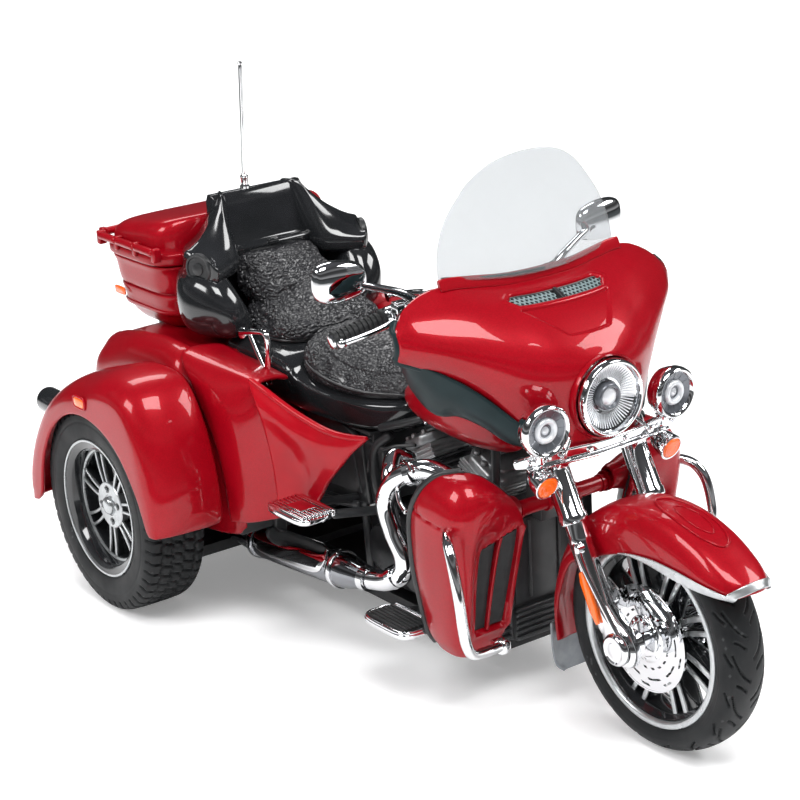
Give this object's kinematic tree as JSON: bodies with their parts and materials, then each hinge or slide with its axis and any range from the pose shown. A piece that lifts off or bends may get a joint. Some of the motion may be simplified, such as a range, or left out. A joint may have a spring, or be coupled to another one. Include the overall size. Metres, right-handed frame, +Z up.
{
  "type": "radio control touring trike",
  "caption": "Scale touring trike with batwing fairing, windshield, trunk with hinged lid, steered sprung front fork and a geared live rear axle.",
  "frame": {"origin": "on the ground, on the centre plane, at the middle of the overall length", "axes": "+X to the machine's left, -Y towards the front wheel, +Z up"},
  "size_m": [0.1144, 0.2132, 0.1296],
  "materials": {
    "candy_red": "candy metallic red, high gloss lacquer",
    "gloss_black": "piano black moulding",
    "satin_black": "satin black moulding",
    "black_vinyl": "grained soft vinyl",
    "tyre_rubber": "matt black rubber",
    "chrome": "bright vacuum plated",
    "silver_paint": "silver plated plastic",
    "tinted_clear": "clear moulding, faint blue grey tint",
    "lamp_lens": "clear lens over a bright reflector",
    "red_lens": "transparent red moulding",
    "gear_brass": "machined brass",
    "circuit_board": "green solder mask",
    "battery_wrap": "blue shrink wrap"
  },
  "bodies": {
    "chassis": {"chassis_tray": "satin_black", "front_frame": "satin_black", "engine_crankcase": "satin_black", "engine_cylinders": "silver_paint", "fuel_tank": "candy_red", "seat_base": "gloss_black", "rider_seat": "black_vinyl", "backrest_pad": "black_vinyl", "headrest_shell": "gloss_black", "rear_body": "candy_red", "rear_fender_left": "candy_red", "rear_fender_right": "candy_red", "taillight_left": "red_lens", "taillight_right": "red_lens", "tourpak_base": "candy_red", "antenna": "chrome", "side_panel_left": "candy_red", "side_panel_right": "candy_red", "grab_rail_left": "chrome", "grab_rail_right": "chrome", "muffler_left": "chrome", "muffler_right": "chrome", "exhaust_header": "chrome", "lower_cowl_left": "candy_red", "lower_cowl_right": "candy_red", "crash_bar_left": "chrome", "crash_bar_right": "chrome", "cowl_crossbar": "candy_red", "drive_motor": "silver_paint", "battery_pack": "battery_wrap", "receiver_board": "circuit_board", "steering_servo": "satin_black"},
    "fork": {"triple_clamp": "chrome", "fairing": "candy_red", "inner_fairing": "gloss_black", "windshield": "tinted_clear", "headlight": "lamp_lens", "lamp_bar": "chrome", "handlebar": "satin_black"},
    "fork_lower": {"fork_sliders": "chrome", "front_fender": "candy_red"},
    "front_wheel": {"front_rim": "silver_paint", "front_tyre": "tyre_rubber"},
    "rear_wheels": {"rear_axle": "gear_brass", "rear_rim_left": "silver_paint", "rear_rim_right": "silver_paint", "rear_tyre_left": "tyre_rubber", "rear_tyre_right": "tyre_rubber"},
    "idler": {"idler_gear": "gear_brass"},
    "pinion": {"motor_pinion": "gear_brass"},
    "trunk_lid": {"tourpak_lid": "candy_red"},
    "horn": {"servo_horn": "silver_paint"},
    "link": {"steering_link": "silver_paint"},
    "switch": {"power_switch": "satin_black"},
    "mirror_left_body": {"mirror_left": "chrome"},
    "mirror_right_body": {"mirror_right": "chrome"},
    "rider_board_left": {"rider_footboard_left": "chrome"},
    "rider_board_right": {"rider_footboard_right": "chrome"},
    "passenger_board_left": {"passenger_footboard_left": "chrome"},
    "passenger_board_right": {"passenger_footboard_right": "chrome"}
  },
  "joints": [
    {"name": "steering", "type": "hinge", "parent": "chassis", "child": "fork", "pos_m": [0, -0.0534, 0.0587], "axis": [0, 0.4617, 0.887], "range_deg": [-20, 20]},
    {"name": "fork_travel", "type": "slide", "parent": "fork", "child": "fork_lower", "axis": [0, 0.4617, 0.887], "range_m": [0, 0.003]},
    {"name": "front_wheel_spin", "type": "hinge", "parent": "fork_lower", "child": "front_wheel", "pos_m": [0, -0.0794, 0.0255], "axis": [1, 0, 0], "continuous": true},
    {"name": "rear_wheel_spin", "type": "hinge", "parent": "chassis", "child": "rear_wheels", "pos_m": [0, 0.0664, 0.0265], "axis": [1, 0, 0], "continuous": true},
    {"name": "idler_spin", "type": "hinge", "parent": "chassis", "child": "idler", "pos_m": [0.0045, 0.0507, 0.0318], "axis": [1, 0, 0], "continuous": true},
    {"name": "pinion_spin", "type": "hinge", "parent": "chassis", "child": "pinion", "pos_m": [0.0045, 0.0405, 0.0357], "axis": [1, 0, 0], "continuous": true},
    {"name": "trunk_lid_hinge", "type": "hinge", "parent": "chassis", "child": "trunk_lid", "pos_m": [0.0276, 0.0895, 0.0802], "axis": [0, 1, 0], "range_deg": [0, 85]},
    {"name": "servo_turn", "type": "hinge", "parent": "chassis", "child": "horn", "pos_m": [0, -0.02948, 0.0635], "axis": [0, 0.4617, 0.887], "range_deg": [-20, 20]},
    {"name": "link_pivot", "type": "hinge", "parent": "horn", "child": "link", "pos_m": [0.007, -0.03027, 0.06199], "axis": [0, 0.4617, 0.887], "range_deg": [-20, 20]},
    {"name": "power_switch_slide", "type": "slide", "parent": "chassis", "child": "switch", "axis": [0, 1, 0], "range_m": [0, 0.0025]},
    {"name": "mirror_left_swivel", "type": "hinge", "parent": "fork", "child": "mirror_left_body", "pos_m": [0.0196, -0.023, 0.0902], "axis": [0, 0, 1], "range_deg": [-20, 20]},
    {"name": "mirror_right_swivel", "type": "hinge", "parent": "fork", "child": "mirror_right_body", "pos_m": [-0.0196, -0.023, 0.0902], "axis": [0, 0, 1], "range_deg": [-20, 20]},
    {"name": "rider_board_left_fold", "type": "hinge", "parent": "chassis", "child": "rider_board_left", "pos_m": [0.0243, -0.0236, 0.018], "axis": [0, -1, 0], "range_deg": [0, 55]},
    {"name": "rider_board_right_fold", "type": "hinge", "parent": "chassis", "child": "rider_board_right", "pos_m": [-0.0243, -0.0236, 0.018], "axis": [0, 1, 0], "range_deg": [0, 55]},
    {"name": "passenger_board_left_fold", "type": "hinge", "parent": "chassis", "child": "passenger_board_left", "pos_m": [0.0294, 0.0059, 0.0376], "axis": [0, -1, 0], "range_deg": [0, 75]},
    {"name": "passenger_board_right_fold", "type": "hinge", "parent": "chassis", "child": "passenger_board_right", "pos_m": [-0.0294, 0.0059, 0.0376], "axis": [0, 1, 0], "range_deg": [0, 75]}
  ],
  "couplings": [
    {"joint": "idler_spin", "follows": "rear_wheel_spin", "ratio": -1.5},
    {"joint": "pinion_spin", "follows": "rear_wheel_spin", "ratio": 2.4},
    {"joint": "servo_turn", "follows": "steering", "ratio": 1},
    {"joint": "link_pivot", "follows": "steering", "ratio": -1}
  ]
}
